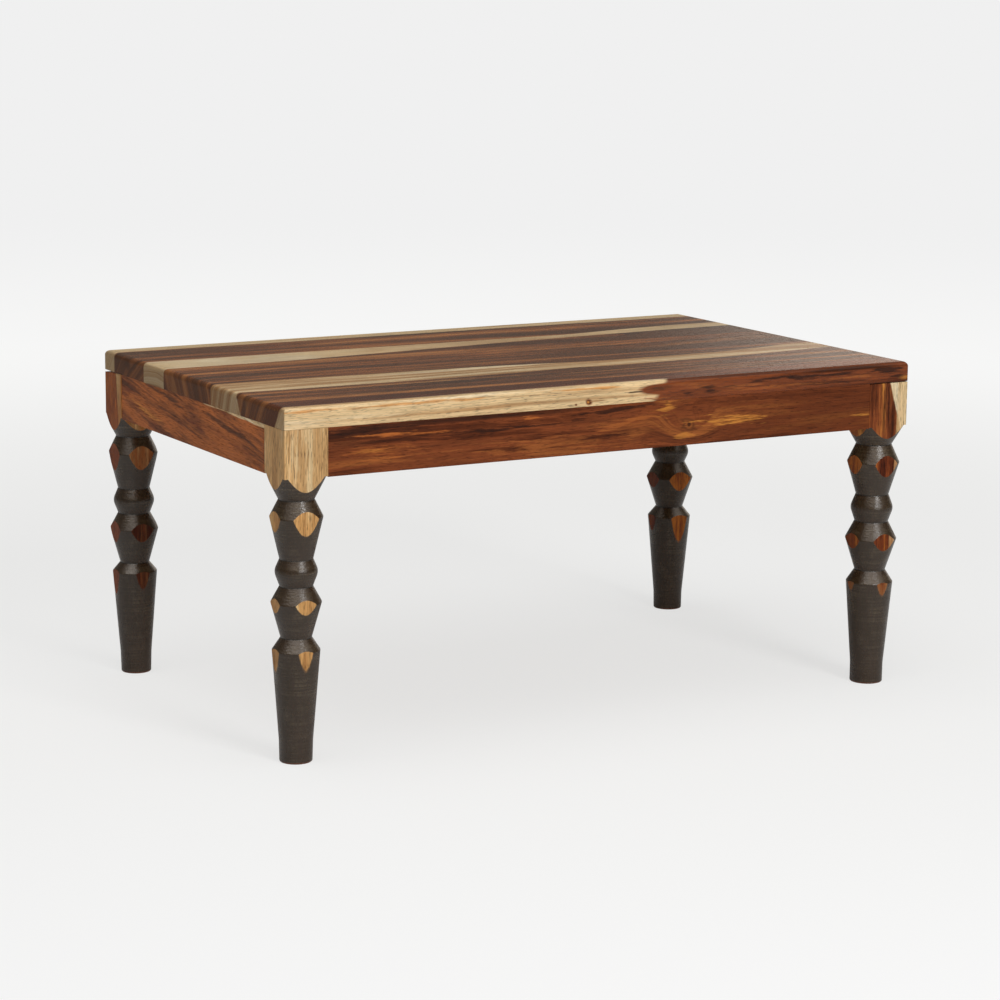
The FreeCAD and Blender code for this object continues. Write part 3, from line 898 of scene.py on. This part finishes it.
# Each rail's heartwood, with its pith line measured across and down, mm. A knot is given by its place, its
# half sizes and how far it lifts the growth rings.
RAIL_TONES = "rail_dark rail_mid rail_mid rail_light"
RAILS = {
    "front": {"pith": (440, 110), "seed": 31.0, "lines": 0.45, "marks": FRONT_RAIL_MARKS,
              "knots": face_marks((408, 43, 46, 26, 22), (385, 18, 50, 20, 9))},
    "rear": {"pith": (-30, 95), "seed": 37.0, "lines": 0.6},
    "left": {"pith": (-25, 95), "seed": 43.0, "lines": 0.85, "tilt": 0.15, "run": 80, "ring": 3.6,
             "tones": "rail_mid rail_light ember ember", "line": "heart_dark", "marks": LEFT_RAIL_MARKS},
    "right": {"pith": (690, 100), "seed": 49.0, "lines": 0.6},
}


def rail_finish(rail, colours):
    """Satin lacquered sheesham rail: red-brown heartwood with dark bands and gold flame beside the knots."""
    material, add = new_finish("satin_lacquered_sheesham_rail_" + rail)
    place = along_table(add) if rail in ("front", "rear") else across_table(add)
    wood = {"run": 260, "ring": 6, "tones": RAIL_TONES, "line": "heart_deep", "sway": 7, **RAILS[rail]}
    bent, colour = log_figure(add, place, wood, colours)
    ragged = shaken(add, place, (34, 6, 6), (14, 1.6, 1.6), wood["seed"])
    if "marks" in wood:
        colour = marked(add, ragged, bent, colour, wood["marks"], colours)
    if rail == "left":
        sap_wood = {**wood, "tones": SAP_TONES, "line": "sap_streak"}
        _, sap = log_figure(add, place, sap_wood, colours)
        below = beyond(add, ragged, (-0.026, 0, 1), 13.2, 0.5)
        past = beyond(add, ragged, (1, 0, 0), 232, 4)
        wedge = add("Math SUBTRACT", (past, below), use_clamp=True)
        colour = blended(add, wedge, colour, sap)
    colour, relief = open_grain(add, bent, colour)
    finish_wood(add, colour, relief, 0.1, 0.4, 0.25)
    return material


def dress(node, material):
    """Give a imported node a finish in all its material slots."""
    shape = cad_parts[node].data
    if not shape.materials:
        shape.materials.append(material)
    for slot in range(len(shape.materials)):
        shape.materials[slot] = material


class BAJOT_OT_rails(bpy.types.Operator):
    """Finish the four apron rails"""
    bl_idname = "bajot.rails"
    bl_label = "Apron rails"

    def execute(self, context):
        colours = palette(context)
        for rail in RAILS:
            dress("rail_" + rail, rail_finish(rail, colours))
        return {"FINISHED"}


# Blocks, buttons and screws


def planed_finish(colours):
    """Bare planed hardwood: pale, matt, with straight brown fibres."""
    material, add = new_finish("bare_planed_hardwood")
    place = along_table(add)
    wood = {"pith": (200, 400), "seed": 61.0, "run": 140, "ring": 4, "lines": 0.3, "line": "sap_streak",
            "tones": "sap_streak plain_wood plain_wood sap"}
    bent, colour = log_figure(add, place, wood, colours)
    colour, relief = open_grain(add, bent, colour)
    finish_wood(add, colour, relief, 0.3, 0.6, 0.3)
    return material


def zinc_finish(colours):
    """Zinc-plated steel: soft metallic glint, a little cloudy."""
    material, add = new_finish("zinc_plated_steel")
    place = along_table(add)
    cloud = add("TexNoise", (place, 0.6, 2.0, 0.5))
    rough = add("MapRange", (cloud, 0.3, 0.7, 0.25, 0.45))
    colour = add("MixRGB", (cloud, [c * 0.75 for c in colours["zinc"]], colours["zinc"]))
    shader = add("BsdfPrincipled", {"Base Color": colour, "Metallic": 1.0, "Roughness": rough})
    add("OutputMaterial", (shader,))
    return material


class BAJOT_OT_fittings(bpy.types.Operator):
    """Finish the corner blocks, the buttons that hold the top, and their screws"""
    bl_idname = "bajot.fittings"
    bl_label = "Blocks, buttons and screws"

    def execute(self, context):
        colours = palette(context)
        wood = planed_finish(colours)
        zinc = zinc_finish(colours)
        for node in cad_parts:
            if node.startswith(("corner_block", "top_button")):
                dress(node, wood)
        for node in ("button_screws", "corner_block_screws"):
            dress(node, zinc)
        return {"FINISHED"}


# Stage


def lamp(name, place, target, size, power):
    """A square soft box that faces a target."""
    light = bpy.data.lights.new(name, "AREA")
    light.shape = "SQUARE"
    light.size = size
    light.energy = power
    holder = bpy.data.objects.new(name, light)
    holder.location = place
    holder.rotation_euler = (Vector(target) - Vector(place)).to_track_quat("-Z", "Y").to_euler()
    bpy.context.scene.collection.objects.link(holder)


def floor_finish(studio):
    """Matt paper floor that fades into the backdrop away from the table."""
    material, add = new_finish("matt_paper_floor")
    place = add("TexCoord").node.outputs["Object"]
    reach = add("VectorMath LENGTH", (place,))
    grain = add("TexNoise", (place, 400.0, 2.0, 0.5))
    speck = add("MapRange", (grain, 0.3, 0.7, 0.985, 1.0))
    colour = add("VectorMath SCALE", (tuple(studio.floor), speck))
    paper = add("BsdfPrincipled", {"Base Color": colour, "Roughness": 0.9, "Specular IOR Level": 0.1})
    forward = add("VectorMath DOT_PRODUCT", (place, (-0.5, -0.87, 0)))
    nearness = add("MapRange", (forward, 0.2, 1.2, 0.0, 1.0), **SOFTLY)
    pale = blended(add, nearness, tuple(studio.floor_rear), tuple(studio.floor_front))
    distance = add("MapRange", (reach, 1.0, 5.0, 0.0, 1.0), **SOFTLY)
    behind = add("MapRange", (forward, 0.3, -0.3, 0.0, 1.0))
    distance = add("Math MULTIPLY", (distance, behind))
    pale = blended(add, distance, pale, tuple(studio.backdrop))
    glow = add("Emission", (pale, 1.0))
    far = add("MapRange", (reach, 0.7, 2.5, studio.floor_glow, 1.0), **SOFTLY)
    seen = add("LightPath").node.outputs["Is Camera Ray"]
    fade = add("Math MULTIPLY", (far, seen))
    sheet = add("MixShader", (fade, paper, glow))
    beneath = add("NewGeometry").node.outputs["Backfacing"]
    beneath = add("Math MULTIPLY", (beneath, seen))
    clear = add("BsdfTransparent", ((1, 1, 1),))
    add("OutputMaterial", (add("MixShader", (beneath, sheet, clear)),))
    return material


def room(studio):
    """Soft even light all round, with a backdrop, a rear right side and a ceiling that gloss shows."""
    world = bpy.data.worlds.new("studio_room")
    add = adder(world)
    path = add("LightPath").node
    direct = (path.outputs["Is Camera Ray"], path.outputs["Is Transmission Ray"])
    seen = add("Math MAXIMUM", direct)
    way = add("TexCoord").node.outputs["Generated"]
    rearward = add("VectorMath DOT_PRODUCT", (way, (0, 1, 0)))
    gleam = add("MapRange", (rearward, -0.4, 0.8, studio.front_gleam, studio.rear_gleam))
    sideward = add("VectorMath DOT_PRODUCT", (way, (0.8, 0.6, 0)))
    panel = add("MapRange", (sideward, 0.93, 0.949, 0.0, studio.side_gleam), **SOFTLY)
    upward = add("VectorMath DOT_PRODUCT", (way, (0, -0.3, 0.95)))
    ceiling = add("MapRange", (upward, 0.5, 0.9, 0.0, studio.ceiling_gleam), **SOFTLY)
    gleam = add("Math ADD", (gleam, panel))
    gleam = add("Math ADD", (gleam, ceiling))
    light = add("Background", ((1, 1, 1), studio.room_light))
    walls = add("Background", (tuple(studio.walls), gleam))
    shown = add("Background", (tuple(studio.backdrop), 1.0))
    unseen = add("MixShader", (path.outputs["Is Glossy Ray"], light, walls))
    add("OutputWorld", (add("MixShader", (seen, unseen, shown)),))
    return world


class BAJOT_OT_stage(bpy.types.Operator):
    """Set the camera, the floor, the backdrop and the soft boxes"""
    bl_idname = "bajot.stage"
    bl_label = "Stage"

    def execute(self, context):
        scene = context.scene
        studio = scene.bajot_studio
        yaw, pitch, roll = studio.camera_turn
        ahead = Vector((math.sin(yaw) * math.cos(pitch), math.cos(yaw) * math.cos(pitch), -math.sin(pitch)))
        right = Vector((math.cos(yaw), -math.sin(yaw), 0))
        up = right.cross(ahead)
        side = math.cos(roll) * right + math.sin(roll) * up
        rise = math.cos(roll) * up - math.sin(roll) * right
        camera = bpy.data.objects.new("camera", bpy.data.cameras.new("camera"))
        camera.data.sensor_width = 36
        camera.data.sensor_fit = "HORIZONTAL"
        camera.data.lens = studio.lens
        turn = Matrix((side, rise, -ahead)).transposed()
        camera.matrix_world = Matrix.Translation(studio.camera_place) @ turn.to_4x4()
        scene.collection.objects.link(camera)
        scene.camera = camera

        shape = bmesh.new()
        bmesh.ops.create_grid(shape, x_segments=4, y_segments=4, size=FLOOR_HALF)
        ground = new_piece("floor", shape, floor_finish(studio))

        target = (0, 0, TABLE_HEIGHT * MM / 2)
        for name, (place, width) in SOFT_BOXES.items():
            lamp(name + "_soft_box", place, target, width, getattr(studio, name + "_power"))
        scene.world = room(studio)
        scene.view_settings.view_transform = "Standard"
        return {"FINISHED"}


class BAJOT_PT_panel(bpy.types.Panel):
    """Lists the steps that make the table"""
    bl_idname = "BAJOT_PT_panel"
    bl_label = "Bajot low table"
    bl_space_type = "VIEW_3D"
    bl_region_type = "UI"
    bl_category = "Bajot"

    def draw(self, context):
        column = self.layout.column()
        for step in STEPS:
            column.operator(step.bl_idname)
        for group in ("bajot_sizes", "bajot_finishes", "bajot_studio"):
            values = getattr(context.scene, group)
            for name in values.__annotations__:
                column.prop(values, name)


STEPS = (BAJOT_OT_stage, BAJOT_OT_top, BAJOT_OT_legs, BAJOT_OT_rails, BAJOT_OT_fittings)
GROUPS = {"bajot_sizes": BajotSizes, "bajot_finishes": BajotFinishes, "bajot_studio": BajotStudio}


def register():
    for group in (*GROUPS.values(), *STEPS, BAJOT_PT_panel):
        bpy.utils.register_class(group)
    for name, group in GROUPS.items():
        setattr(bpy.types.Scene, name, bpy.props.PointerProperty(type=group))


def unregister():
    for name in GROUPS:
        delattr(bpy.types.Scene, name)
    for group in (BAJOT_PT_panel, *reversed(STEPS), *reversed(GROUPS.values())):
        bpy.utils.unregister_class(group)


def main():
    register()
    bpy.ops.bajot.stage()
    bpy.ops.bajot.top()
    bpy.ops.bajot.legs()
    bpy.ops.bajot.rails()
    bpy.ops.bajot.fittings()


if __name__ == "__main__":
    main()
